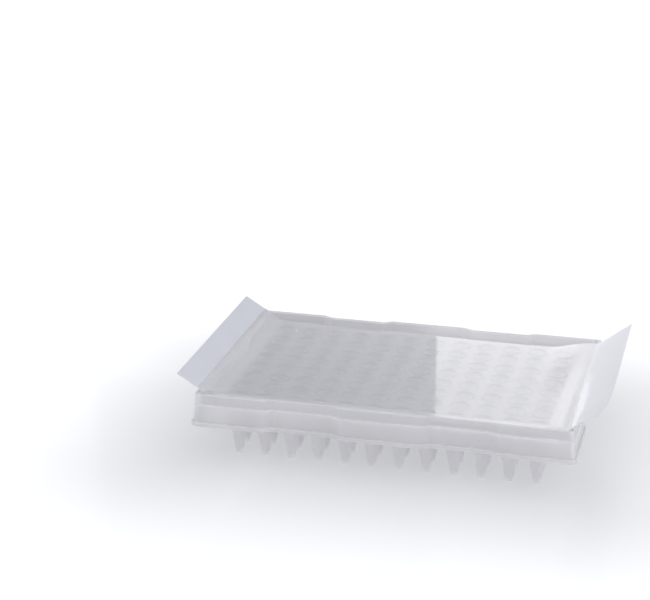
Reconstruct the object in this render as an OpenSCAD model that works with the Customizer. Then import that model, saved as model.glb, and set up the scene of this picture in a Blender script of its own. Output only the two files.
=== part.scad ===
// 96-well semi-skirted plate, sealed with a clear adhesive film.
// Origin: centre of the well field, on the plane of the tube tips.
// +X runs along the 12 columns, +Y along the 8 rows, +Z up. Millimetres.

/* [Plate outline] */
// Length over the flange
plate_l = 125.98; // [124:0.01:134]
// Width over the flange
plate_w = 85.85; // [84:0.01:94]
// Height from the tube tips to the top of the rim
plate_h = 23.24; // [21.5:0.01:26]
// Corner radius of the flange
corner_r = 2.4; // [1.6:0.1:6]

/* [Skirt and rim] */
// Height of the skirt's lower edge above the tube tips
skirt_z = 12.6; // [9:0.1:15]
// Height of the flange round the skirt's foot
flange_h = 1.4; // [0.8:0.1:3]
// How far the flange stands out from the skirt
flange_out = 0.85; // [0.4:0.05:1.4]
// Thickness of the skirt's wall
skirt_t = 1.2; // [0.8:0.1:2]
// Height of the skirt below the shoulder
skirt_h = 7.2; // [4:0.1:9]
// How far the shoulder sets the rim in from the skirt
shoulder_in = 0.5; // [0.2:0.05:0.6]
// Width of the rim's top
rim_t = 1.5; // [1:0.1:1.8]

/* [Grip recesses] */
// Depth of the shallow recesses in the four sides
recess_d = 1.6; // [0.4:0.1:1.9]
// Start of a long side's recess, from the middle
recess_from = 13.5; // [6:0.5:20]
// End of a long side's recess, from the middle
recess_to = 38; // [30:0.5:48]
// Half the length of the end recess
end_recess = 15; // [8:0.5:24]
// Length of the ramp at each end of a recess
ramp_l = 2.5; // [0.5:0.1:5]

/* [Deck] */
// Depth of the deck below the rim's top
deck_drop = 3.55; // [2.8:0.05:4.2]
// Thickness of the deck
deck_t = 1.0; // [0.7:0.1:1.6]

/* [Wells] */
// Number of columns
columns = 12; // [4:1:12]
// Number of rows
rows = 8; // [2:1:8]
// Distance between neighbouring wells
pitch = 9.0; // [8.2:0.1:9]
// Inside diameter at the mouth of a well
well_d = 5.5; // [4.6:0.1:6]
// Height of the raised ring round each well
ring_h = 0.66; // [0.2:0.02:1]
// Width of the raised ring beyond the well's mouth
ring_w = 0.65; // [0.5:0.05:1]
// Thickness of a tube's wall
tube_t = 0.4; // [0.3:0.05:0.6]
// Half angle of the tube's cone, in degrees
tube_angle = 9.8; // [8:0.1:12]
// Radius of the cone where it meets the plane of the tips
tip_cone_r = 1.24; // [1:0.02:1.6]
// Radius of the flat on a tube's tip
tip_flat_r = 0.7; // [0.3:0.05:0.9]
// Thickness of the floor of a tube
tube_floor = 0.8; // [0.4:0.05:1.2]

/* [Sealing film] */
// Width of the film
film_w = 78.1; // [76:0.1:78.6]
// Thickness of the film
film_t = 0.12; // [0.05:0.01:0.3]
// Distance of each fold of the film from that end of the plate
fold_in = 2.79; // [2:0.01:3.8]
// Turn of the film on the plate, in degrees
film_skew = -0.8; // [-1:0.1:0]
// Shift of the film towards the front of the plate
film_shift = 1.25; // [0.6:0.05:1.4]
// Thickness of the adhesive between the film and the plate
adhesive_t = 0.02; // [0:0.01:0.1]
// Clearance of the film's slopes from the inner edge of the end rims
climb_gap = 0.54; // [0.3:0.01:1.2]
// Slope of the film where it climbs to the end rims, in degrees
climb_angle = 33; // [32:0.5:40]

/* [End tabs] */
// Thickness of the white strip under each end of the film
tab_t = 0.16; // [0.1:0.01:0.4]
// Length of the left tab, from the fold to its free edge
left_tab_l = 8.5; // [6:0.1:12]
// Slope of the left tab, in degrees
left_tab_angle = 31; // [10:1:60]
// Length of the right tab at its front edge, where its corner is cut back
right_tab_front_l = 11.5; // [8:0.1:14]
// Full length of the right tab
right_tab_full_l = 14.3; // [8:0.1:16]
// Width over which the right tab's front corner is cut back
tab_corner_w = 15.6; // [4:0.1:30]
// Bare film between the right fold and the edge of the white strip
strip_start = 0.35; // [0.2:0.05:1]
// Slope of the right tab's chord at the front, in degrees
right_front_angle = 33.5; // [10:1:50]
// Slope of the right tab's chord at the back, in degrees
right_back_angle = 38; // [10:1:60]
// Curl of the right tab at the front, in degrees from the fold to the edge
right_front_curl = 20; // [0:1:80]

/* [Hidden] */
over = 1;
clearance = 0.1;
round_fn = 64;
least_r = 0.6;

// Levels above the plane of the tube tips
shoulder_z = skirt_z + skirt_h;
deck_z = plate_h - deck_drop;
deck_under = deck_z - deck_t;
ring_z = deck_z + ring_h;

// Insets of the walls from the flange's outline
skirt_in = flange_out;
rim_in = flange_out + shoulder_in;

// Tube section
tube_r = well_d / 2 + tube_t;
taper = tan(tube_angle);
cone_top = (tube_r - tip_cone_r) / taper;
tip_round = 0.75;
floor_round = 0.6;
wall_across = tube_t / cos(tube_angle);
bore_tip_r = tip_cone_r - wall_across;

// Film seats, on its underside
ring_seat = ring_z + adhesive_t;
rim_seat = plate_h + adhesive_t;
fold_x = plate_l / 2 - fold_in;
curl_fade = 1.3;
field_y = (rows - 1) / 2 * pitch + well_d / 2 + ring_w;
rim_climb_x = plate_l / 2 - rim_in - rim_t - recess_d - climb_gap;
climb_x = rim_climb_x - (rim_seat - ring_seat) / tan(climb_angle);
skew_drift = abs(sin(film_skew)) * (fold_x - ramp_l);
front_flat_y = field_y - film_shift + skew_drift + 3 * clearance;
rim_drift = skew_drift * recess_to / fold_x;
front_rim_y = plate_w / 2 - rim_in - rim_t - recess_d - film_shift - rim_drift - clearance / 2;

module rounded_slab(l, w, r) {
    square([l - 2 * r, w], center = true);
    square([l, w - 2 * r], center = true);
    for (sx = [-1, 1], sy = [-1, 1])
        translate([sx * (l / 2 - r), sy * (w / 2 - r)])
            circle(r = r, $fn = round_fn);
}

// One recess as a shape to cut away: from x0 to x1 along an edge at height y
module recess(x0, x1, y) {
    polygon([
        [x0, y + over],
        [x0, y],
        [x0 + ramp_l, y - recess_d],
        [x1 - ramp_l, y - recess_d],
        [x1, y],
        [x1, y + over],
    ]);
}

// Outline of the plate in plan, set in all round by inset
module outline(inset) {
    difference() {
        rounded_slab(plate_l - 2 * inset, plate_w - 2 * inset, max(corner_r - inset, least_r));
        for (turn = [0, 180])
            rotate(turn) {
                recess(recess_from, recess_to, plate_w / 2 - inset);
                recess(-recess_to, -recess_from, plate_w / 2 - inset);
                rotate(90)
                    recess(-end_recess, end_recess, plate_l / 2 - inset);
            }
    }
}

module slab(inset, z0, z1) {
    translate([0, 0, z0])
        linear_extrude(z1 - z0)
            outline(inset);
}

module at_wells() {
    for (i = [0 : columns - 1], j = [0 : rows - 1])
        translate([(i - (columns - 1) / 2) * pitch, (j - (rows - 1) / 2) * pitch, 0])
            children();
}

// Outside of one tube, with the raised ring on the deck
module tube_body() {
    rotate_extrude($fn = round_fn)
        polygon([
            [0, 0],
            [tip_flat_r, 0],
            [tip_cone_r + tip_round * taper, tip_round],
            [tube_r, cone_top],
            [tube_r, deck_under + deck_t / 2],
            [tube_r - tube_t + ring_w, deck_under + deck_t / 2],
            [tube_r - tube_t + ring_w, ring_z],
            [0, ring_z],
        ]);
}

// Inside of one tube: a straight mouth, a cone and a rounded floor
module tube_bore() {
    rotate_extrude($fn = round_fn)
        polygon([
            [0, tube_floor],
            [bore_tip_r / 2, tube_floor],
            [bore_tip_r + (tube_floor + floor_round) * taper, tube_floor + floor_round],
            [well_d / 2, cone_top],
            [well_d / 2, ring_z + over],
            [0, ring_z + over],
        ]);
}

module plate() {
    color([0.78, 0.78, 0.82])
        difference() {
            union() {
                difference() {
                    union() {
                        slab(0, skirt_z, skirt_z + flange_h);
                        slab(skirt_in, skirt_z, shoulder_z);
                        slab(rim_in, skirt_z, plate_h);
                    }
                    slab(rim_in + rim_t, deck_z, plate_h + over);
                    slab(skirt_in + skirt_t, skirt_z - over, deck_under);
                }
                at_wells()
                    tube_body();
            }
            at_wells()
                tube_bore();
        }
}

// A thin sheet through a grid of points; its faces lie low and high above the grid
module sheet(grid, low, high) {
    nu = len(grid);
    nv = len(grid[0]);
    n = nu * nv;
    function at(i, j) = i * nv + j;
    top = [for (p = [for (row = grid) each row]) p + [0, 0, high]];
    bottom = [for (p = [for (row = grid) each row]) p + [0, 0, low]];
    cells = [for (i = [0 : nu - 2], j = [0 : nv - 2]) [i, j]];
    rim = concat(
        [for (j = [0 : nv - 2]) [at(0, j), at(0, j + 1)]],
        [for (i = [0 : nu - 2]) [at(i, nv - 1), at(i + 1, nv - 1)]],
        [for (j = [nv - 1 : -1 : 1]) [at(nu - 1, j), at(nu - 1, j - 1)]],
        [for (i = [nu - 1 : -1 : 1]) [at(i, 0), at(i - 1, 0)]]
    );
    polyhedron(
        points = concat(top, bottom),
        faces = concat(
            [for (c = cells) [at(c[0], c[1]), at(c[0], c[1] + 1), at(c[0] + 1, c[1] + 1)]],
            [for (c = cells) [at(c[0], c[1]), at(c[0] + 1, c[1] + 1), at(c[0] + 1, c[1])]],
            [for (c = cells) [n + at(c[0], c[1]), n + at(c[0] + 1, c[1] + 1), n + at(c[0], c[1] + 1)]],
            [for (c = cells) [n + at(c[0], c[1]), n + at(c[0] + 1, c[1]), n + at(c[0] + 1, c[1] + 1)]],
            [for (e = rim) [e[1], e[0], n + e[0]]],
            [for (e = rim) [e[1], n + e[0], n + e[1]]]
        )
    );
}

function mix(a, b, t) = a + (b - a) * t;
function ease(t) = t <= 0 ? 0 : t >= 1 ? 1 : t * t * (3 - 2 * t);

// Height of the film over the plate: flat on the wells' rings, up to the end rims
// with one slope, and up over the front rim with a soft bend
function end_climb(x) = max(0, abs(x) - climb_x) * tan(climb_angle);
function left_height() = ring_seat + (fold_x - climb_x) * tan(climb_angle);
function front_climb(y) = (rim_seat - ring_seat) * ease((-y - front_flat_y) / (front_rim_y - front_flat_y));
function film_z(x, y) = ring_seat
    + max(x > 0 ? min(end_climb(x), rim_seat - ring_seat) : end_climb(x), front_climb(y));

// A tab's own curve in the plane across its fold: length s, chord slope a, curl c
function curl_angle(t, a, c) = a + c * (0.5 - t);
function curl_x(s, l, a, c) = c == 0 ? s * cos(a)
    : l / (c * PI / 180) * (sin(curl_angle(0, a, c)) - sin(curl_angle(s / l, a, c)));
function curl_z(s, l, a, c) = c == 0 ? s * sin(a)
    : l / (c * PI / 180) * (cos(curl_angle(s / l, a, c)) - cos(curl_angle(0, a, c)));

across = [
    for (t = [0 : 4]) -film_w / 2 + t * (film_w / 2 - front_rim_y) / 4,
    for (t = [1 : 5]) mix(-front_rim_y, -front_flat_y, t / 5),
    for (t = [1 : 8]) mix(-front_flat_y, film_w / 2, t / 8)
];
back_share = [for (y = across) (y + film_w / 2) / film_w];

function left_tab_row(t) = [
    for (y = across) [
        -fold_x - left_tab_l * t * cos(left_tab_angle),
        y,
        left_height() + left_tab_l * t * sin(left_tab_angle)
    ]
];
function right_tab_point(t, y, b) = let (
    l = mix(right_tab_full_l, right_tab_front_l, pow(max(1 - b * film_w / tab_corner_w, 0), 2)),
    a = mix(right_front_angle, right_back_angle, ease(b)),
    c = right_front_curl * (1 - ease(b * curl_fade))
) [
    fold_x + curl_x(t * l, l, a, c),
    y,
    rim_seat + curl_z(t * l, l, a, c)
];
function right_tab_row(t) = [
    for (k = [0 : len(across) - 1]) right_tab_point(t, across[k], back_share[k])
];

film_lines = [
    -fold_x, -rim_climb_x, -climb_x,
    for (t = [-3 : 3]) t * climb_x / 4,
    climb_x, rim_climb_x, fold_x
];
tab_steps = 8;
right_strip = [
    right_tab_row(strip_start / right_tab_front_l),
    for (k = [1 : tab_steps]) right_tab_row(k / tab_steps)
];

module on_plate() {
    translate([0, -film_shift, 0])
        rotate(film_skew)
            children();
}

module sealing_film() {
    left_end = [for (k = [tab_steps : -1 : 1]) left_tab_row(k / tab_steps)];
    middle = [for (x = film_lines) [for (y = across) [x, y, film_z(x, y)]]];
    color([0.86, 0.88, 0.92, 0.45])
        on_plate()
            sheet(concat(left_end, middle, right_strip), 0, film_t);
}

module left_tab() {
    color([0.93, 0.95, 0.98])
        on_plate()
            sheet([for (k = [tab_steps : -1 : 0]) left_tab_row(k / tab_steps)], -tab_t, 0);
}

module right_tab() {
    color([0.93, 0.95, 0.98])
        on_plate()
            sheet(right_strip, -tab_t, 0);
}

plate();
sealing_film();
left_tab();
right_tab();
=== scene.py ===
# %% [markdown]
# # A sealed well plate
# The object is a small laboratory plate, moulded in one shot from frosted
# polypropylene: a deck with 96 thin tapered tubes under it, a low rim around the
# deck and a skirt with a flange below the rim. A clear adhesive film closes the
# wells. A white strip under each end of the film is left sticking up to pull it by.
# The lesson makes one piece after another as a surface worked out with numpy, gives
# each its material, and sets the studio last. Lengths are millimetres until a mesh
# is made; Blender and the frame use metres.

import math

import bmesh
import bpy
import numpy as np
from mathutils import Matrix, Vector
from mathutils.geometry import delaunay_2d_cdt


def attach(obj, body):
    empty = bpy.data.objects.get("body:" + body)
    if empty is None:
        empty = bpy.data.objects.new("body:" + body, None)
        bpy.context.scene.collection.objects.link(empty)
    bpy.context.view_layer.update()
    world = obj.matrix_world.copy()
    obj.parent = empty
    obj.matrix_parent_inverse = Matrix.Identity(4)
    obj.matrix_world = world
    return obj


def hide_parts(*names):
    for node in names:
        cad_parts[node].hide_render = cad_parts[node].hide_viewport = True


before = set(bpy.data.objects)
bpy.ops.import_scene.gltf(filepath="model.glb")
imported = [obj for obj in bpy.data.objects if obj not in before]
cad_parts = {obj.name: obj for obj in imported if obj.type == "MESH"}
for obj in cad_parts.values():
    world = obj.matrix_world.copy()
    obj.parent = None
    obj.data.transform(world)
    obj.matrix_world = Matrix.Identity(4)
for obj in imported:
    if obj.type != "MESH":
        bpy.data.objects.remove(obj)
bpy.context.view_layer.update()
MM = 0.001
print("nodes in the frame:", sorted(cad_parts))

# %% [markdown]
# ## Helpers
# Every piece ends up as one array of points and one list of faces. A helper puts
# them into a mesh, turns the faces outwards and makes the shading smooth except at
# real creases. Two more helpers are used by many profiles: one rounds the corners
# of a section, as every moulded edge is rounded, and one joins the rows of a grid.


# %% Mesh helpers
def grid_faces(rows, columns, first=0, closed=True):
    """Quads between neighbouring rows of a grid of points, numbered row by row from
    first; a closed grid also joins each row's last point to its first one."""
    i = np.arange(rows - 1)[:, None]
    j = np.arange(columns if closed else columns - 1)[None, :]
    k = (j + 1) % columns
    corners = [i * columns + j, i * columns + k, (i + 1) * columns + k, (i + 1) * columns + j]
    return np.stack([c + 0 * (i + j) for c in corners], axis=-1).reshape(-1, 4) + first


def rounded(path, radius, steps=4):
    """A section with its inner corners rounded: each corner becomes the curve
    (1-t)^2 A + 2 t (1-t) P + t^2 B, where A and B lie radius before and after it."""
    path = np.asarray(path, float)
    radius = np.broadcast_to(radius, len(path) - 2)[:, None]
    before = path[:-2] - path[1:-1]
    after = path[2:] - path[1:-1]
    a = path[1:-1] + before / np.linalg.norm(before, axis=1, keepdims=True) * radius
    b = path[1:-1] + after / np.linalg.norm(after, axis=1, keepdims=True) * radius
    t = np.linspace(0, 1, steps)[None, :, None]
    curve = (1 - t) ** 2 * a[:, None] + 2 * t * (1 - t) * path[1:-1, None] + t**2 * b[:, None]
    return np.concatenate([path[:1], curve.reshape(-1, 2), path[-1:]])


def put_in_mesh(name, points, faces, crease=38):
    """A smooth-shaded object from points in millimetres, its faces turned outwards
    and its edges sharp where two faces meet at more than crease degrees."""
    mesh = bpy.data.meshes.new(name)
    mesh.from_pydata(np.asarray(points) * MM, [], [tuple(f) for f in faces])
    work = bmesh.new()
    work.from_mesh(mesh)
    bmesh.ops.recalc_face_normals(work, faces=work.faces)
    open_edges = sum(not e.is_manifold for e in work.edges)
    volume = work.calc_volume() * 1e6
    work.to_mesh(mesh)
    work.free()
    mesh.polygons.foreach_set("use_smooth", np.ones(len(mesh.polygons), bool))
    mesh.set_sharp_from_angle(angle=math.radians(crease))
    piece = bpy.data.objects.new(name, mesh)
    bpy.context.scene.collection.objects.link(piece)
    print(f"{name}: {len(mesh.polygons)} faces, {open_edges} open edges, {volume:.2f} cm3")
    return piece


# %% [markdown]
# ## The plate's outline
# Seen from above the plate is a rectangle with small corner radii. Shallow recesses
# step in on all four sides, two on each long side and one on each end, where a hand
# or a gripper holds it. Drawing the outline as a function of how far it is set in
# means that flange, skirt, shoulder and rim all follow the same steps.

# %% Outline of the plate
LENGTH, WIDTH, HEIGHT = 125.98, 85.85, 23.24
CORNER = 2.4
RECESS_DEPTH, RECESS_RAMP = 1.6, 2.5
LONG_RECESS = (13.5, 38.0)
END_RECESS = 15.0


def ramp(x, start, softness=0.5):
    """0 before start, 1 one ramp later, straight between: a clipped line averaged
    over a short window, which rounds its two bends."""
    window = np.linspace(-0.5, 0.5, 9) * softness
    return np.clip((x[:, None] + window - start) / RECESS_RAMP, 0, 1).mean(axis=1)


def near_bends(bends):
    """Stations along a side, five close together around each bend."""
    return np.sort(np.add.outer(np.asarray(bends), [-0.32, -0.14, 0.0, 0.14, 0.32]).ravel())


low, high = LONG_RECESS
long_bends = np.array([low, low + RECESS_RAMP, high - RECESS_RAMP, high])
LONG_STATIONS = near_bends(np.concatenate([-long_bends, long_bends]))
END_STATIONS = near_bends([-END_RECESS, RECESS_RAMP - END_RECESS, END_RECESS - RECESS_RAMP, END_RECESS])


def outline(inset):
    """The outline set in by inset, as points in order: a long side and an end, each
    with its recesses, joined by quarter circles, then the same turned half round."""
    r = max(CORNER - inset, 0.6)
    half_x, half_y = LENGTH / 2 - inset, WIDTH / 2 - inset
    cx, cy = half_x - r, half_y - r
    x = np.concatenate([[-cx], LONG_STATIONS, [cx]])
    y = np.concatenate([[-cy], END_STATIONS, [cy]])
    long_step = RECESS_DEPTH * ramp(np.abs(x), low) * ramp(-np.abs(x), -high)
    end_step = RECESS_DEPTH * ramp(-np.abs(y), -END_RECESS)
    turn = np.radians(np.linspace(-90, 0, 8)[1:-1])
    front = np.stack([x, long_step - half_y], axis=1)
    corner = np.stack([cx + r * np.cos(turn), r * np.sin(turn) - cy], axis=1)
    end = np.stack([half_x - end_step, y], axis=1)
    far_corner = np.stack([cx - r * np.sin(turn), cy + r * np.cos(turn)], axis=1)
    half = np.concatenate([front, corner, end, far_corner])
    return np.concatenate([half, -half])


STATIONS = len(outline(0.0))
print("stations round the outline:", STATIONS)

# %% [markdown]
# ## Walls, deck and tubes
# The rim, the shoulder, the skirt and its flange are one section carried round the
# outline. The 96 wells and tubes are one pair of turned profiles repeated on the
# 9 mm grid. What is left is two flat sheets with round holes, the deck's top and its
# underside; a constrained triangulation fills them between the points that the walls
# and the wells already have, so the whole plate is one closed skin with no seams.

# %% Sections of the plate
SKIRT_FOOT, FLANGE_TOP, SHOULDER = 12.6, 14.0, 19.8
DECK_TOP, DECK_UNDER, RING_TOP = 19.69, 18.69, 20.35
SKIRT_IN, RIM_IN, RIM_INNER, SKIRT_INNER = 0.85, 1.35, 2.85, 2.05
PITCH, COLUMNS, ROWS = 9.0, 12, 8
MOUTH_R, TUBE_R, RING_R = 2.75, 3.15, 3.40
SLOPE = math.tan(math.radians(9.8))
TIP_R, BORE_TIP_R = 1.24, 0.834
CONE_TOP = (TUBE_R - TIP_R) / SLOPE
ROUND_POINTS = 28

wall = rounded(
    [
        (RIM_INNER + 0.9, DECK_TOP),
        (RIM_INNER, DECK_TOP),
        (RIM_INNER, HEIGHT),
        (RIM_IN, HEIGHT),
        (RIM_IN, SHOULDER),
        (SKIRT_IN, SHOULDER),
        (SKIRT_IN, FLANGE_TOP),
        (0.0, FLANGE_TOP),
        (0.0, SKIRT_FOOT),
        (SKIRT_INNER, SKIRT_FOOT),
        (SKIRT_INNER, DECK_UNDER),
        (SKIRT_INNER + 0.9, DECK_UNDER),
    ],
    [0.4, 0.3, 0.3, 0.35, 0.22, 0.3, 0.3, 0.25, 0.3, 0.4],
)
well = np.concatenate(
    [
        rounded([(RING_R + 0.12, DECK_TOP), (RING_R, DECK_TOP), (RING_R, RING_TOP),
                 (MOUTH_R, RING_TOP), (MOUTH_R, CONE_TOP + 1.0)], [0.11, 0.15, 0.2], steps=3),
        [(MOUTH_R - 0.02, CONE_TOP), (BORE_TIP_R + 1.9 * SLOPE, 1.9), (0.75, 1.1), (0.4, 0.86)],
    ]
)
tube = np.concatenate(
    [
        rounded([(TUBE_R + 0.5, DECK_UNDER), (TUBE_R, DECK_UNDER), (TUBE_R, CONE_TOP + 0.4),
                 (TIP_R + 1.0 * SLOPE, 1.0)], [0.4, 0.35], steps=3),
        [(1.33, 0.6), (1.17, 0.28), (0.86, 0.07), (0.42, 0.0)],
    ]
)
# Painted highlights: the moulded edges listed here get a lighter glow that falls off over EDGE_REACH
# millimetres.
EDGE_REACH = 0.22
light_edges = np.array(
    [(RIM_IN, HEIGHT), (RIM_INNER, HEIGHT), (SKIRT_IN, SHOULDER), (RIM_IN, SHOULDER), (0.0, FLANGE_TOP)]
)
from_edge = np.linalg.norm(wall[:, None] - light_edges[None], axis=2).min(axis=1)
wall_edge_highlight = np.exp(-((from_edge / EDGE_REACH) ** 2))
print("section points: wall", len(wall), "well", len(well), "tube", len(tube))


# %% Surfaces of the plate
def turned(profile, centre_z):
    """Rows of points on circles of radius r at height z for each (r, z) of the
    profile, and one last point on the axis."""
    a = np.linspace(0, 2 * math.pi, ROUND_POINTS, endpoint=False)
    r, z = profile[:, :1], profile[:, 1:]
    rows = np.stack([r * np.cos(a), r * np.sin(a), z + 0 * a], axis=-1).reshape(-1, 3)
    return np.concatenate([rows, [[0, 0, centre_z]]])


def turned_faces(rows):
    """Quads between the rows of a turned profile and a fan to its last point."""
    tip = rows * ROUND_POINTS
    last = (rows - 1) * ROUND_POINTS + np.arange(ROUND_POINTS)
    fan = np.stack([last, np.roll(last, -1), np.full(ROUND_POINTS, tip)], axis=1)
    return grid_faces(rows, ROUND_POINTS), fan


def filled(loop, holes):
    """Triangles over the area inside loop and outside the holes, as numbers in the
    list of all their points; the last index of a hole joins back to its first."""
    flat = np.concatenate([loop] + holes)
    sizes = [len(loop)] + [len(h) for h in holes]
    edges, start = [], 0
    for size in sizes:
        ring = start + np.arange(size)
        edges += list(zip(ring.tolist(), np.roll(ring, -1).tolist()))
        start += size
    out = delaunay_2d_cdt([Vector(p) for p in flat], edges, [], 1, 1e-5)
    source = [ids[0] for ids in out[3]]
    triangles = np.array([[source[v] for v in f] for f in out[2]])
    centres = flat[triangles].mean(axis=1)
    hole_centres = np.array([h.mean(axis=0) for h in holes])
    reach = np.linalg.norm(holes[0][0] - hole_centres[0])
    gap = np.linalg.norm(centres[:, None] - hole_centres[None], axis=2).min(axis=1)
    return triangles[gap > reach * 0.985]


ix, iy = np.meshgrid(np.arange(COLUMNS), np.arange(ROWS), indexing="ij")
CENTRES = np.stack([ix.ravel() - (COLUMNS - 1) / 2, iy.ravel() - (ROWS - 1) / 2], axis=1) * PITCH

wall_points = np.concatenate(
    [np.column_stack([outline(inset), np.full(STATIONS, z)]) for inset, z in wall]
)
offsets = np.column_stack([CENTRES, np.zeros(len(CENTRES))])[:, None]
well_points = (offsets + turned(well, 0.8)[None]).reshape(-1, 3)
tube_points = (offsets + turned(tube, 0.0)[None]).reshape(-1, 3)
points = np.concatenate([wall_points, well_points, tube_points])
print("points: wall", len(wall_points), "wells", len(well_points), "tubes", len(tube_points))


# %% One closed skin
def deck_sheet(loop_first, bank_first, profile):
    """One flat side of the deck: filled between the wall's loop of points and the
    first circle of each well or tube, in the numbers of the whole plate."""
    step = len(profile) * ROUND_POINTS + 1
    loop_ids = loop_first + np.arange(STATIONS)
    hole_ids = bank_first + step * np.arange(len(CENTRES))[:, None] + np.arange(ROUND_POINTS)
    ids = np.concatenate([loop_ids, hole_ids.ravel()])
    triangles = filled(points[loop_ids, :2], [points[h, :2] for h in hole_ids])
    return ids[triangles]


def bank(profile, first):
    """The faces of all 96 turned profiles, numbered one after another from first."""
    quads, fan = turned_faces(len(profile))
    step = len(profile) * ROUND_POINTS + 1
    shift = first + step * np.arange(len(CENTRES))[:, None, None]
    return (quads[None] + shift).reshape(-1, 4), (fan[None] + shift).reshape(-1, 3)


well_first = len(wall_points)
tube_first = well_first + len(well_points)
BORE_ROW = 9
groups = [(grid_faces(len(wall), STATIONS), 0)]
for kind, profile, first, thin_from in ((1, well, well_first, BORE_ROW), (2, tube, tube_first, 1)):
    quads, fans = bank(profile, first)
    row = np.arange(len(quads)) % ((len(profile) - 1) * ROUND_POINTS) // ROUND_POINTS
    groups += [(quads, np.where(row >= thin_from, kind, 3 if profile is well else 0)), (fans, kind)]
groups += [(deck_sheet(0, well_first, well), 0)]
groups += [(deck_sheet((len(wall) - 1) * STATIONS, tube_first, tube), 0)]
faces = [face for group, _ in groups for face in group.tolist()]
wall_kind = np.concatenate([np.broadcast_to(kind, len(group)) for group, kind in groups])
moulded_plate = put_in_mesh("moulded_plate", points, faces)
# The painted edge highlights go on the plate as a point attribute.
edge_highlight_share = np.zeros(len(points))
edge_highlight_share[:len(wall_points)] = np.repeat(wall_edge_highlight, STATIONS)
moulded_plate.data.attributes.new("edge_highlight_share", "FLOAT", "POINT").data.foreach_set("value", edge_highlight_share)
print("faces in the wells:", int((wall_kind == 1).sum()), "on the tubes:", int((wall_kind == 2).sum()))
even = moulded_plate.modifiers.new("even shading", "WEIGHTED_NORMAL")
even.keep_sharp = True
moulded_plate.visible_glossy = False

# %% [markdown]
# ## The sealing film
# The film is a clear sheet about a tenth of a millimetre thick. It is pressed on the
# raised rings of the wells, so it lies flat there. At the ends it has to climb to the
# rim, and along the front, where it was laid a little out of line, it climbs over the
# long rim too. It is made as a height field over its own length and width, bent up at
# its ends, then turned a little on the plate and given its thickness.

# %% Shape of the film
FILM_WIDTH, FILM_THICK = 78.1, 0.12
FOLD_X, TURN, SHIFT = 60.2, math.radians(-0.8), 1.25
RING_SEAT, RIM_SEAT = RING_TOP + 0.02, HEIGHT + 0.02
CLIMB_X, CLIMB = 53.545, math.tan(math.radians(33))
FRONT_FLAT_Y, FRONT_RIM_Y = 34.48, 37.05
LEFT_HEIGHT = RING_SEAT + (FOLD_X - CLIMB_X) * CLIMB


def ease(t):
    """0 to 1 with a level start and end: t t (3 - 2 t)."""
    t = np.clip(t, 0, 1)
    return t * t * (3 - 2 * t)


def rise(d, softness):
    """A slope of one that starts at d = 0, its bend rounded: (d + sqrt(d d + s s)) / 2."""
    return (d + np.sqrt(d * d + softness * softness)) / 2


def film_height(x, y):
    """Underside of the film over the plate: the rings, the two end slopes, the slope
    over the front rim and a curl up the far wall, whichever is highest, with a slight
    sag over every well."""
    left = rise(-x - CLIMB_X, 0.8) * CLIMB
    steep = RIM_SEAT - RING_SEAT - rise((RIM_SEAT - RING_SEAT) - rise(x - CLIMB_X, 0.8) * CLIMB, 0.2)
    gentle = (RIM_SEAT - RING_SEAT) * ease((x - 42) / 16.5)
    far_share = ease((y + 4) / 42)
    right = np.maximum(steep * (1 - far_share) + gentle * far_share, 0)
    front = (RIM_SEAT - RING_SEAT) * ease((-y - FRONT_FLAT_Y) / (FRONT_RIM_Y - FRONT_FLAT_Y))
    far = 0.5 * ease((y - 36.6) / 2.6) * ease((5 - x) / 22)
    plate_x, plate_y = x + 0.014 * y, y - SHIFT - 0.014 * x
    inside = ease((52.0 - np.abs(plate_x)) / 1.0) * ease((34.0 - np.abs(plate_y)) / 1.0)
    cell = np.cos(2 * math.pi * plate_x / PITCH) * np.cos(2 * math.pi * (plate_y / PITCH - 0.5))
    sag = 0.004 * inside * (1 + cell)
    return RING_SEAT + np.maximum(np.maximum(left, right), np.maximum(front, far)) + sag


print("film over the rings at", RING_SEAT, "mm, over the rim at", RIM_SEAT, "mm")


# %% Shape of the end tabs
LEFT_TAB, LEFT_ANGLE = 8.5, math.radians(31)
TAB_FRONT, TAB_FULL, TAB_CORNER, STRIP_START = 11.5, 14.3, 15.6, 0.35


def left_tab_point(s, y):
    """A flat strip: from the fold outwards and up at one angle."""
    out, up = LEFT_TAB * math.cos(LEFT_ANGLE), LEFT_TAB * math.sin(LEFT_ANGLE)
    return -FOLD_X - s * out, y, LEFT_HEIGHT + s * up


def right_tab_point(s, y):
    """A strip that curls: its slope goes from a + c/2 at the fold to a - c/2 at the
    free edge, so it is an arc of length l; a and c change from front to back, and l is
    cut back in a rounded front corner, full length less a square of the way left."""
    b = (y + FILM_WIDTH / 2) / FILM_WIDTH
    l = TAB_FULL - (TAB_FULL - TAB_FRONT) * np.maximum(1 - b * FILM_WIDTH / TAB_CORNER, 0) ** 2
    a = np.radians(33.5 + 4.5 * ease(b))
    c = np.radians(20 * (1 - ease(b * 1.3)) + 1e-4)
    start, here = a + c / 2, a + c * (0.5 - s)
    out, up = np.sin(start) - np.sin(here), np.cos(here) - np.cos(start)
    return FOLD_X + l / c * out, y, RIM_SEAT + l / c * up


def placed(x, y, z):
    """The film's own place to the plate's: turned by TURN, moved by SHIFT to the front."""
    c, s = math.cos(TURN), math.sin(TURN)
    return np.stack([x * c - y * s, x * s + y * c - SHIFT, z], axis=-1)


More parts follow.
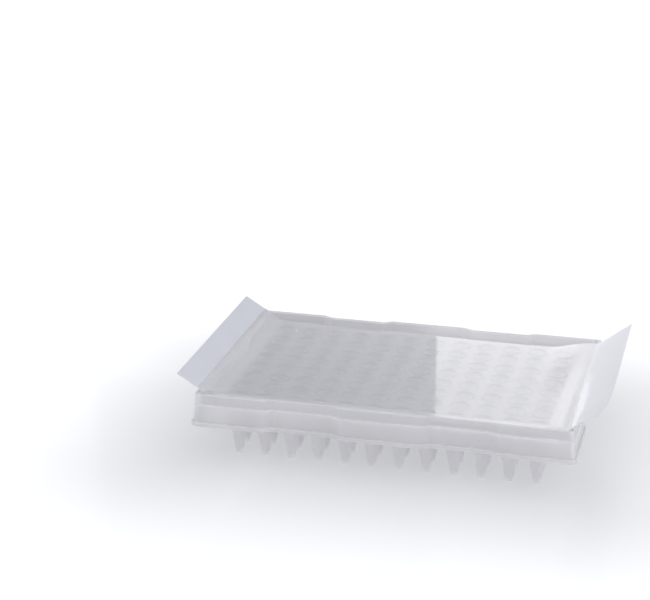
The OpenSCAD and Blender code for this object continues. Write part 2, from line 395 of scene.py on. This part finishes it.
def sheet(middle, low_side, high_side):
    """A closed sheet: the grid's surface moved along its normals by two amounts, the
    two skins joined along the four edges."""
    du = np.gradient(middle, axis=0)
    dv = np.gradient(middle, axis=1)
    normal = np.cross(du, dv)
    normal /= np.linalg.norm(normal, axis=2, keepdims=True)
    rows, columns = middle.shape[:2]
    skins = np.concatenate([(middle + normal * side).reshape(-1, 3) for side in (high_side, low_side)])
    count = rows * columns
    top = grid_faces(rows, columns, closed=False)
    border = np.concatenate([
        np.arange(columns), np.arange(1, rows) * columns + columns - 1,
        (rows - 1) * columns + np.arange(columns - 2, -1, -1), np.arange(rows - 2, 0, -1) * columns])
    after = np.roll(border, -1)
    edge = np.stack([border, border + count, after + count, after], axis=1)
    return skins, np.concatenate([top, top[:, ::-1] + count, edge])


print("left tab", LEFT_TAB, "mm, right tab", TAB_FULL, "mm and", TAB_FRONT, "mm at its front")


# %% Film and tabs
across = np.unique(np.concatenate([
    np.linspace(-FILM_WIDTH / 2, -FRONT_FLAT_Y, 22), np.linspace(-FRONT_FLAT_Y, 36, 96),
    np.linspace(36, FILM_WIDTH / 2, 12)]))
along = np.unique(np.concatenate([
    np.linspace(-FOLD_X, -CLIMB_X + 1.5, 22), np.linspace(-CLIMB_X + 1.5, 40, 130),
    np.linspace(40, FOLD_X, 48)]))
share = np.linspace(0, 1, 25)
field_x, field_y = np.meshgrid(along, across, indexing="ij")
tab_s, tab_y = np.meshgrid(share, across, indexing="ij")
field = placed(field_x, field_y, film_height(field_x, field_y))
left_strip = placed(*left_tab_point(tab_s, tab_y))
right_strip = placed(*right_tab_point(tab_s, tab_y))
whole = np.concatenate([left_strip[:0:-1], field, right_strip[1:]])
film = put_in_mesh("clear_film", *sheet(whole, 0.0, FILM_THICK), crease=60)
STRIP_SIDES = (-0.16, -0.004)
left_tab = put_in_mesh("left_white_tab", *sheet(left_strip[::-1], *STRIP_SIDES), crease=60)
strip_s = tab_s + (1 - tab_s) * STRIP_START / TAB_FRONT
white_part = placed(*right_tab_point(strip_s, tab_y))
right_tab = put_in_mesh("right_white_tab", *sheet(white_part, *STRIP_SIDES), crease=60)


# %% What varies along the film
def along_film(name, left_value, over_plate, right_value):
    """A point attribute of the film that changes only along it: one value on the left
    tab, a row of values over the plate and one value on the right tab."""
    tab_rows = np.ones(len(share) - 1)
    row = np.concatenate([left_value * tab_rows, over_plate, right_value * tab_rows])
    values = np.tile(np.repeat(row, len(across)), 2)
    film.data.attributes.new(name, "FLOAT", "POINT").data.foreach_set("value", values)
    print(name, "goes from", round(float(row.min()), 2), "to", round(float(row.max()), 2))


along_film("cloud", 0, 4 - 2.7 * ease((along + FOLD_X) / 1.6) - 0.3 * ease((along + 20) / 40), 0)
# free: how far the film's mirror is painted darker, painted shade that dims its reflection on the right
# slope and more on the right tab.
along_film("free", 0, 0.35 * ease((along - 51.5) / 3), 1)

# %% [markdown]
# ## Materials
# Frosted polypropylene is cloudy: light enters, scatters and comes out softened, so
# the walls look evenly grey, with a fine grain on the surface from the mould. The
# strips, the film, the floor and the cards have a grain too, so it is a node group:
# its sizes go in, and a broad and a fine noise come out.
#
# Light that wanders inside the plastic leaves at thin walls. Full scattering would show
# this but is slow and noisy in walls this thin, so it is a small painted glow instead:
# more on the tubes, less in the wells, and painted highlights along the moulded edges
# by the attribute edge_highlight_share, which falls off with the distance from the
# edge. The rings that the film is pressed on are a shade darker.



# %% Node helpers
def stretched(tree, source, start, end, first, last, kind="LINEAR"):
    """Carries source from start..end to first..last, straight or eased, and holds it
    at both ends."""
    node = tree.nodes.new("ShaderNodeMapRange")
    node.interpolation_type = kind
    for name, value in zip(("From Min", "From Max", "To Min", "To Max"), (start, end, first, last)):
        node.inputs[name].default_value = value
    tree.links.new(source, node.inputs["Value"])
    return node.outputs["Result"]


def vector_step(tree, operation, source, *others):
    """One vector operation on source, with the other vectors it needs as plain values."""
    node = tree.nodes.new("ShaderNodeVectorMath")
    node.operation = operation
    tree.links.new(source, node.inputs[0])
    for socket, value in enumerate(others, start=1):
        node.inputs[socket].default_value = value
    return node.outputs["Value" if operation in ("LENGTH", "DOT_PRODUCT") else "Vector"]


def blended(tree, factor, first, second, kind="MIX"):
    """Mixes two colours by factor; each is a plain colour or another node's output."""
    node = tree.nodes.new("ShaderNodeMix")
    node.data_type, node.blend_type = "RGBA", kind
    tree.links.new(factor, node.inputs["Factor"])
    for name, value in (("A", first), ("B", second)):
        if isinstance(value, tuple):
            node.inputs[name].default_value = (*value, 1)
        else:
            tree.links.new(value, node.inputs[name])
    return node.outputs["Result"]


def attribute(tree, name):
    """The value of a point attribute of the piece."""
    node = tree.nodes.new("ShaderNodeAttribute")
    node.attribute_name = name
    return node.outputs["Fac"]


print("node helpers ready")


# %% Shared grain
def grain_group():
    """Two noises on the object's own place: a broad one that shifts the colour, and a
    fine one for roughness and bump."""
    group = bpy.data.node_groups.new("moulding grain", "ShaderNodeTree")
    for name, value in (("Broad size", 60.0), ("Fine size", 2500.0), ("Stretch X", 1.0)):
        size = group.interface.new_socket(name, in_out="INPUT", socket_type="NodeSocketFloat")
        size.default_value = value
    for name in ("Broad", "Fine"):
        group.interface.new_socket(name, in_out="OUTPUT", socket_type="NodeSocketFloat")
    nodes, links = group.nodes, group.links
    inputs, outputs = nodes.new("NodeGroupInput"), nodes.new("NodeGroupOutput")
    squeeze, scale = nodes.new("ShaderNodeCombineXYZ"), nodes.new("ShaderNodeVectorMath")
    place = nodes.new("ShaderNodeTexCoord")
    scale.operation = "MULTIPLY"
    squeeze.inputs["Y"].default_value = squeeze.inputs["Z"].default_value = 1.0
    links.new(inputs.outputs["Stretch X"], squeeze.inputs["X"])
    links.new(place.outputs["Object"], scale.inputs[0])
    links.new(squeeze.outputs["Vector"], scale.inputs[1])
    for name, detail in (("Broad", 3.0), ("Fine", 2.0)):
        noise = nodes.new("ShaderNodeTexNoise")
        noise.inputs["Detail"].default_value = detail
        links.new(scale.outputs["Vector"], noise.inputs["Vector"])
        links.new(inputs.outputs[f"{name} size"], noise.inputs["Scale"])
        links.new(noise.outputs["Fac"], outputs.inputs[name])
    return group


GRAIN = grain_group()
print("grain group sockets:", len(GRAIN.interface.items_tree))


# %% A finish
NOISE_SPAN = (0.3, 0.7)


def finish(name, broad_size, fine_size, stretch=1.0):
    """A material with the shared grain in it: its node tree, shader and grain node."""
    material = bpy.data.materials.new(name)
    material.use_nodes = True
    nodes = material.node_tree.nodes
    grain = nodes.new("ShaderNodeGroup")
    grain.node_tree = GRAIN
    grain.inputs["Broad size"].default_value = broad_size
    grain.inputs["Fine size"].default_value = fine_size
    grain.inputs["Stretch X"].default_value = stretch
    print("finish", name)
    return material, nodes["Principled BSDF"], grain


def spread(material, source, low_value, high_value, target):
    """Feeds target with source stretched from its usual span to the two values, which
    are numbers or colours."""
    tree = material.node_tree
    if isinstance(low_value, tuple):
        factor = stretched(tree, source, *NOISE_SPAN, 0.0, 1.0)
        tree.links.new(blended(tree, factor, low_value, high_value), target)
    else:
        tree.links.new(stretched(tree, source, *NOISE_SPAN, low_value, high_value), target)


def bump(material, source, distance, strength, shader):
    """A fine relief from source, distance metres deep at full strength."""
    nodes, links = material.node_tree.nodes, material.node_tree.links
    node = nodes.new("ShaderNodeBump")
    node.inputs["Distance"].default_value = distance
    node.inputs["Strength"].default_value = strength
    links.new(source, node.inputs["Height"])
    links.new(node.outputs["Normal"], shader.inputs["Normal"])


# %% Frosted polypropylene
WALL_TONES = (0.79, 0.785, 0.805), (0.83, 0.825, 0.845)
# The rings under the film are a shade darker than the walls.
RING_TONES = (0.74, 0.74, 0.76), (0.78, 0.78, 0.80)
CLEARNESS = 0.6


def frosted(name, glow, tones=WALL_TONES):
    """Cloudy plastic, with CLEARNESS as the share of light that goes through. Its glow
    is painted light in place of the light that has wandered inside the wall: 0.95 glow on
    plain walls, rising by about 0.11 towards the moulded edges as painted highlights."""
    material, shader, grain = finish(name, 45.0, 2600.0)
    tree = material.node_tree
    spread(material, grain.outputs["Broad"], *tones, shader.inputs["Base Color"])
    spread(material, grain.outputs["Fine"], 0.30, 0.42, shader.inputs["Roughness"])
    bump(material, grain.outputs["Fine"], 0.00004, 0.25, shader)
    shader.inputs["IOR"].default_value = 1.49
    shader.inputs["Transmission Weight"].default_value = CLEARNESS
    plain, edge = (0.95 * glow, 0.95 * glow, glow), (glow + 0.11, glow + 0.11, glow + 0.12)
    painted_glow_colour = blended(tree, attribute(tree, "edge_highlight_share"), plain, edge)
    tree.links.new(painted_glow_colour, shader.inputs["Emission Color"])
    shader.inputs["Emission Strength"].default_value = 1.0
    moulded_plate.data.materials.append(material)


# Painted glow: each copy of the plastic glows a little in place of scattered light, and all glow lighter
# along the moulded edges as painted highlights.
frosted("frosted_polypropylene", 0.0)
frosted("well_lining_painted_glow", 0.02)
frosted("tube_wall_painted_glow", 0.075)
frosted("pressed_ring", 0.0, RING_TONES)
moulded_plate.data.polygons.foreach_set("material_index", wall_kind)
print("finishes on the plate:", len(moulded_plate.data.materials))

# %% [markdown]
# The film is thin and clear: what matters is how much it mirrors at a low angle and
# how much it lets through from above. The mirror is the shader and the clear part is
# its alpha, which is a haze plus a curve like Schlick's, R + (1 - R) f^4, where f goes
# from 0 face on to 1 edge on. Facing is the same from both sides of a surface, so
# light inside the thin sheet isn't trapped.
#
# Three things vary over the sheet. The attribute cloud is the haze of the adhesive
# where it is stuck down, most at the left fold and none on the tabs. The attribute
# free darkens the mirror on the right slope and more on the right tab, painted shade
# that dims the reflection there. And over each open well the sheet is painted a little
# darker, most at the far side, as painted shade for the shaded hollow under it. That
# pattern is worked out from the place, so it stays sharp at any size.


# %% Where the film spans a well
# Painted shade: the film's colour over each open well is multiplied by this grey.
MOUTH_PAINTED_SHADE = (0.935, 0.935, 0.945)


def math_step(tree, operation, first, second):
    """One operation on two values, the second a number or another node's output."""
    node = tree.nodes.new("ShaderNodeMath")
    node.operation = operation
    tree.links.new(first, node.inputs[0])
    if isinstance(second, float):
        node.inputs[1].default_value = second
    else:
        tree.links.new(second, node.inputs[1])
    return node.outputs["Value"]


def painted_well_shade_mask(tree):
    """How much of an open well lies under each place of the film. With d the distance
    from the nearest well's middle and v how far behind that middle, in millimetres,
    it is disc * back: disc falls from 1 to 0 as d goes from 3.1 to 3.5, and back rises
    from 0.55 to 1 as v goes from 0.6 to 3.1. Past the outer wells it is 0."""
    half = PITCH / 2
    place = tree.nodes.new("ShaderNodeTexCoord").outputs["Object"]
    lengths = vector_step(tree, "MULTIPLY", place, (1 / MM, 1 / MM, 0))
    moved = vector_step(tree, "ADD", lengths, (half, half, 0))
    cell = vector_step(tree, "WRAP", moved, (half, half, 1), (-half, -half, -1))
    disc = stretched(tree, vector_step(tree, "LENGTH", cell), 3.1, 3.5, 1.0, 0.0, "SMOOTHSTEP")
    parts, reach = tree.nodes.new("ShaderNodeSeparateXYZ"), tree.nodes.new("ShaderNodeSeparateXYZ")
    tree.links.new(cell, parts.inputs["Vector"])
    tree.links.new(vector_step(tree, "ABSOLUTE", lengths), reach.inputs["Vector"])
    back = stretched(tree, parts.outputs["Y"], 0.6, 3.1, 0.55, 1.0, "SMOOTHSTEP")
    in_x = math_step(tree, "LESS_THAN", reach.outputs["X"], COLUMNS * half)
    in_y = math_step(tree, "LESS_THAN", reach.outputs["Y"], ROWS * half)
    field = math_step(tree, "MULTIPLY", in_x, in_y)
    return math_step(tree, "MULTIPLY", math_step(tree, "MULTIPLY", disc, back), field)


print("the pattern covers", COLUMNS, "by", ROWS, "wells")

# %% Clear film
MIRROR, PAINTED_DIM_MIRROR = (0.95, 0.95, 0.97), (0.78, 0.78, 0.80)
clear_film, shader, grain = finish("clear_film", 140.0, 900.0, stretch=0.15)
tree = clear_film.node_tree
# Painted shade: the mirror's colour goes darker where free is high, dimming the reflection on the right
# slope and tab.
mirror_with_painted_shade = blended(tree, attribute(tree, "free"), MIRROR, PAINTED_DIM_MIRROR)
shaded = blended(tree, painted_well_shade_mask(tree), mirror_with_painted_shade, MOUTH_PAINTED_SHADE, "MULTIPLY")
tree.links.new(shaded, shader.inputs["Base Color"])
shader.inputs["Metallic"].default_value = 1.0
spread(clear_film, grain.outputs["Broad"], 0.03, 0.12, shader.inputs["Roughness"])
bump(clear_film, grain.outputs["Broad"], 0.00012, 0.25, shader)

# %% How clear the film is
FACE_ON, STEEPNESS = 0.035, 4.0
facing = tree.nodes.new("ShaderNodeLayerWeight")
facing.inputs["Blend"].default_value = 0.5
power = math_step(tree, "POWER", facing.outputs["Facing"], STEEPNESS)
curve = stretched(tree, power, 0.0, 1.0, FACE_ON, 1.0)
haze, veil = tree.nodes.new("ShaderNodeMath"), tree.nodes.new("ShaderNodeMath")
haze.operation, veil.operation, veil.use_clamp = "MULTIPLY", "ADD", True
tree.links.new(attribute(tree, "cloud"), haze.inputs[0])
spread(clear_film, grain.outputs["Broad"], 0.19, 0.23, haze.inputs[1])
tree.links.new(haze.outputs["Value"], veil.inputs[0])
tree.links.new(curve, veil.inputs[1])
tree.links.new(veil.outputs["Value"], shader.inputs["Alpha"])
film.data.materials.append(clear_film)
print("film: mirrors", FACE_ON, "face on, besides its haze")

# %% [markdown]
# The strips are the backing paper that stays on the film's ends, coated and satin, a
# cool white with hardly any pattern. A flat colour would look like plastic, so it gets
# a slight drift of tone and a fine relief, both from the shared grain.

# %% White strip
STRIP_TONES = (0.68, 0.705, 0.76), (0.72, 0.745, 0.797)
white_strip, shader, grain = finish("white_strip", 90.0, 3000.0, stretch=0.5)
spread(white_strip, grain.outputs["Broad"], *STRIP_TONES, shader.inputs["Base Color"])
spread(white_strip, grain.outputs["Fine"], 0.35, 0.5, shader.inputs["Roughness"])
bump(white_strip, grain.outputs["Fine"], 0.00003, 0.2, shader)
left_tab.data.materials.append(white_strip)
right_tab.data.materials.append(white_strip)
print("strip finished")

# %% [markdown]
# ## The pieces and the frame
# The solids that carry the real sizes are already in the frame, plain. Each finished
# piece takes the place of one of them and rides on the same body.

# %% Tie the pieces to the frame
for piece, node, slot in (
    (moulded_plate, "plate", "polypropylene"),
    (film, "sealing_film", "clear_film"),
    (left_tab, "left_tab", "white_strip"),
    (right_tab, "right_tab", "white_strip"),
):
    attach(piece, "root")
    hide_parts(node)
print("pieces tied to the frame: 4")

# %% [markdown]
# ## The studio
# A pale, slightly glossy floor under a bright, even room, with one broad lamp on the
# right. The floor has a soft glow of its own that grows with the distance from the
# plate, so the darker floor round the plate is painted shade. A clear sheet shows mostly
# what it mirrors, so a grey card stands behind the left half of the plate: one that only
# mirror rays meet gives the film its tone, and a low one that only light passing through
# a wall meets keeps the far rim from shining. Real grey cards would do the same, but
# would show in the picture and shade the floor.


# %% Floor
HALF_FLOOR = 6.0
PAINTED_SHADE_CORE = (0.063, 0.043, 0.0)
sides = np.array([(-1, -1, 0), (1, -1, 0), (1, 1, 0), (-1, 1, 0)]) * HALF_FLOOR
floor_mesh = bpy.data.meshes.new("floor")
floor_mesh.from_pydata(sides, [], [(0, 1, 2, 3)])
floor = bpy.data.objects.new("floor", floor_mesh)
bpy.context.scene.collection.objects.link(floor)
pale, shader, grain = finish("pale_floor", 4.0, 300.0)
spread(pale, grain.outputs["Broad"], (0.42, 0.425, 0.44), (0.44, 0.445, 0.46), shader.inputs["Base Color"])
spread(pale, grain.outputs["Fine"], 0.14, 0.2, shader.inputs["Roughness"])
shader.inputs["Specular IOR Level"].default_value = 0.2
shader.inputs["Emission Color"].default_value = (0.97, 0.98, 1.0, 1)
floor_mesh.materials.append(pale)
print("floor", 2 * HALF_FLOOR, "m wide")

# %% The floor's glow, weaker near the plate as painted shade: a distance from a rectangle round the plate
tree = pale.node_tree
place = tree.nodes.new("ShaderNodeTexCoord").outputs["Object"]
beyond = vector_step(tree, "SUBTRACT", vector_step(tree, "ABSOLUTE", place), PAINTED_SHADE_CORE)
far_off = vector_step(tree, "LENGTH", vector_step(tree, "MAXIMUM", beyond, (0.0, 0.0, 0.0)))
# Painted shade: the glow is weakest inside the core round the plate, so the floor there is darker.
glow = stretched(tree, far_off, -0.01, 0.085, 0.35, 0.66, "SMOOTHSTEP")
tree.links.new(glow, shader.inputs["Emission Strength"])
print("glow starts", PAINTED_SHADE_CORE[0], "m and", PAINTED_SHADE_CORE[1], "m from the middle")

# %% Cards
CARD_TONES = (0.54, 0.54, 0.555), (0.69, 0.69, 0.70)
grey, shader, grain = finish("grey_card", 20.0, 300.0)
tree = grey.node_tree
apart = tree.nodes.new("ShaderNodeSeparateXYZ")
tree.links.new(tree.nodes.new("ShaderNodeTexCoord").outputs["Object"], apart.inputs["Vector"])
tone = stretched(tree, apart.outputs["X"], -0.09, -0.01, *NOISE_SPAN)
spread(grey, tone, *CARD_TONES, shader.inputs["Base Color"])
spread(grey, grain.outputs["Fine"], 0.85, 0.95, shader.inputs["Roughness"])


def card(name, left_end, right_end, foot, head, seen_by):
    """An upright grey card from one end to the other on the floor plan, from foot to
    head in height, that only one kind of ray meets."""
    (x0, y0), (x1, y1) = left_end, right_end
    mesh = bpy.data.meshes.new(name)
    mesh.from_pydata([(x0, y0, foot), (x1, y1, foot), (x1, y1, head), (x0, y0, head)], [], [(0, 1, 2, 3)])
    mesh.materials.append(grey)
    piece = bpy.data.objects.new(name, mesh)
    bpy.context.scene.collection.objects.link(piece)
    for kind in ("camera", "shadow", "diffuse", "glossy", "transmission"):
        setattr(piece, f"visible_{kind}", kind == seen_by)
    print(name, "is met only by", seen_by, "rays")


card("high_card", (-0.150, 0.100), (-0.0100, 0.115), 0.034, 0.300, "glossy")
card("low_card", (-0.130, 0.060), (-0.0080, 0.075), 0.001, 0.050, "transmission")


# %% Lights
def lamp(name, place, target, size, radiance):
    """A rectangular area light at place that faces target. Its power is its radiance
    times pi times its area, so the number given is how bright it looks."""
    data = bpy.data.lights.new(name, "AREA")
    data.shape, (data.size, data.size_y) = "RECTANGLE", size
    data.energy = radiance * math.pi * size[0] * size[1]
    light = bpy.data.objects.new(name, data)
    light.location = place
    light.rotation_euler = (Vector(target) - Vector(place)).to_track_quat("-Z", "Y").to_euler()
    bpy.context.scene.collection.objects.link(light)
    print(name, "has", round(data.energy, 2), "W")


lamp("right_light", (0.9, -0.3, 0.8), (0, 0, 0), (0.6, 0.6), 0.75)

# %% Room
FROM_ABOVE_BEHIND = (0.0, 0.94, -1.2)
world = bpy.data.worlds.new("bright room")
bpy.context.scene.world = world
world.use_nodes = True
tree = world.node_tree
background = tree.nodes["Background"]
background.inputs["Color"].default_value = (0.98, 0.98, 1.0, 1)
direction = tree.nodes.new("ShaderNodeTexCoord").outputs["Generated"]
towards = vector_step(tree, "DOT_PRODUCT", direction, FROM_ABOVE_BEHIND)
tree.links.new(stretched(tree, towards, 0.32, 0.50, 0.93, 1.12), background.inputs["Strength"])
bpy.context.scene.view_settings.view_transform = "Standard"
print("room set")

# %% [markdown]
# ## The camera
# A long lens from low in front keeps the long sides nearly parallel and lets the
# tubes be seen under the skirt. The small roll about the line of sight levels the
# plate in the picture.

# %% Camera
eye, aim, roll = Vector((0.11471, -0.58609, 0.25986)), Vector((-0.05093, 0.09340, 0.010)), math.radians(0.28)
camera_data = bpy.data.cameras.new("camera")
camera_data.lens, camera_data.sensor_width = 105.32, 36.0
camera = bpy.data.objects.new("camera", camera_data)
facing_aim = (aim - eye).to_track_quat("-Z", "Y").to_matrix().to_4x4()
camera.matrix_world = Matrix.Translation(eye) @ facing_aim @ Matrix.Rotation(roll, 4, "Z")
bpy.context.scene.collection.objects.link(camera)
bpy.context.scene.camera = camera
print("camera at", tuple(round(v, 4) for v in eye))
